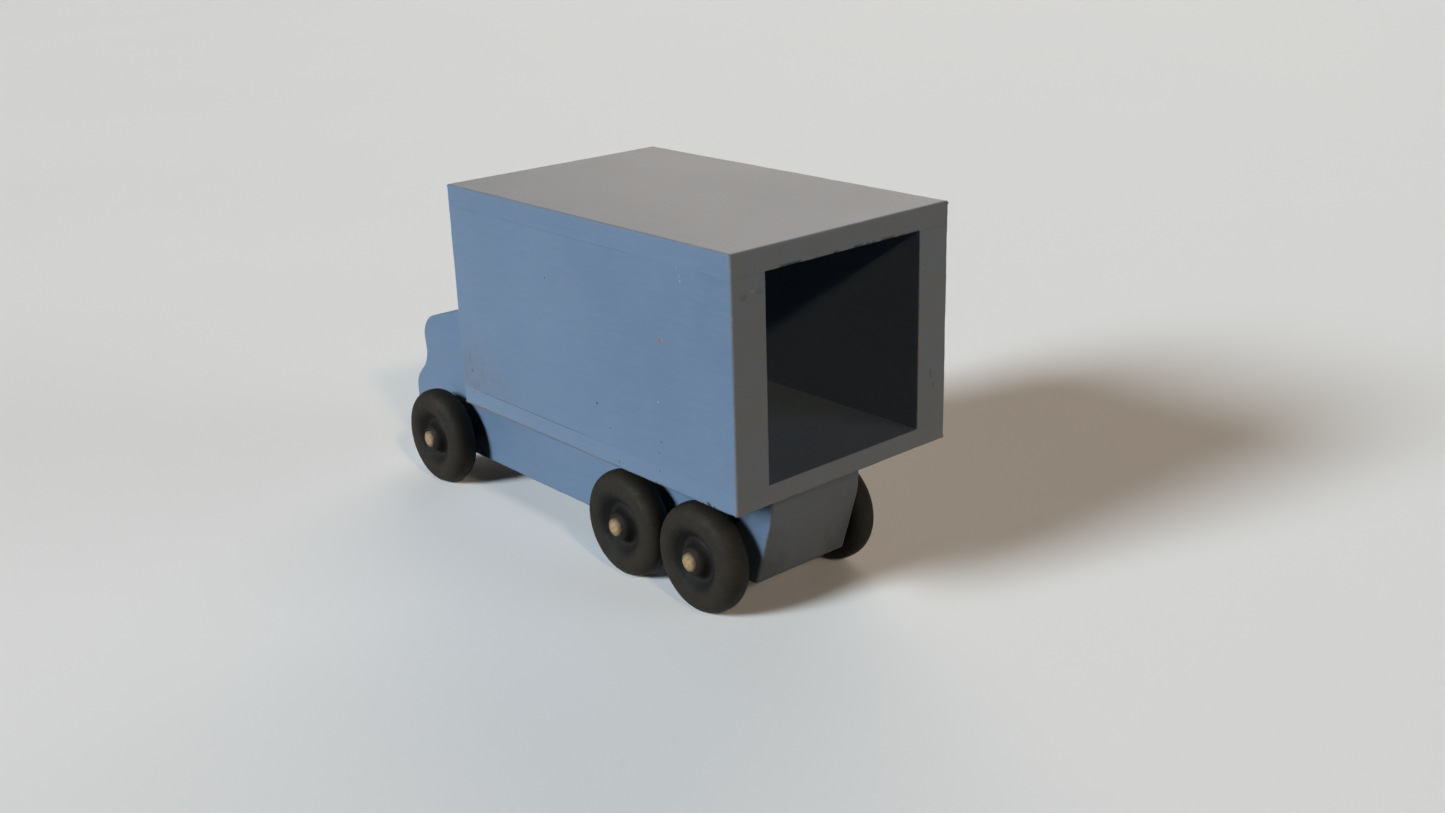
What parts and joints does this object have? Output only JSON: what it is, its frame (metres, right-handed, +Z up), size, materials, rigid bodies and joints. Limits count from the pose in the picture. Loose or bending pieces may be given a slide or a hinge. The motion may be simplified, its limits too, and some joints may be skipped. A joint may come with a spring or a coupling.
{
  "type": "toy truck",
  "caption": "Painted wooden toy delivery truck with a fixed open-backed cargo box, a sawn chassis-and-cab block, and wheels fixed on dowel axles that turn in the chassis.",
  "frame": {"origin": "on the ground under the middle of the truck (centre of the bottom of its bounding box)", "axes": "+X forward to the cab, +Y to the truck's left, +Z up"},
  "size_m": [0.2168, 0.088, 0.1232],
  "materials": {
    "blue_paint": "slate blue satin paint, brushed, rubbed along the edges",
    "black_paint": "black satin paint, worn to brown on the tread",
    "dowel_wood": "bare hardwood dowel",
    "screw_steel": "plain zinc"
  },
  "bodies": {
    "truck": {"chassis_and_cab": "blue_paint", "box_floor": "blue_paint", "box_side_left": "blue_paint", "box_side_right": "blue_paint", "box_front": "blue_paint", "box_roof": "blue_paint", "floor_screw_rear": "screw_steel", "floor_screw_front": "screw_steel"},
    "rear_axle_set": {"axle_rear": "dowel_wood", "wheel_rear_left": "black_paint", "wheel_rear_right": "black_paint"},
    "middle_axle_set": {"axle_middle": "dowel_wood", "wheel_middle_left": "black_paint", "wheel_middle_right": "black_paint"},
    "front_axle_set": {"axle_front": "dowel_wood", "wheel_front_left": "black_paint", "wheel_front_right": "black_paint"}
  },
  "joints": [
    {"name": "rear_axle_spin", "type": "hinge", "parent": "truck", "child": "rear_axle_set", "pos_m": [-0.0736, 0, 0.018], "axis": [0, 1, 0], "continuous": true},
    {"name": "middle_axle_spin", "type": "hinge", "parent": "truck", "child": "middle_axle_set", "pos_m": [-0.0366, 0, 0.018], "axis": [0, 1, 0], "continuous": true},
    {"name": "front_axle_spin", "type": "hinge", "parent": "truck", "child": "front_axle_set", "pos_m": [0.0774, 0, 0.018], "axis": [0, 1, 0], "continuous": true}
  ]
}
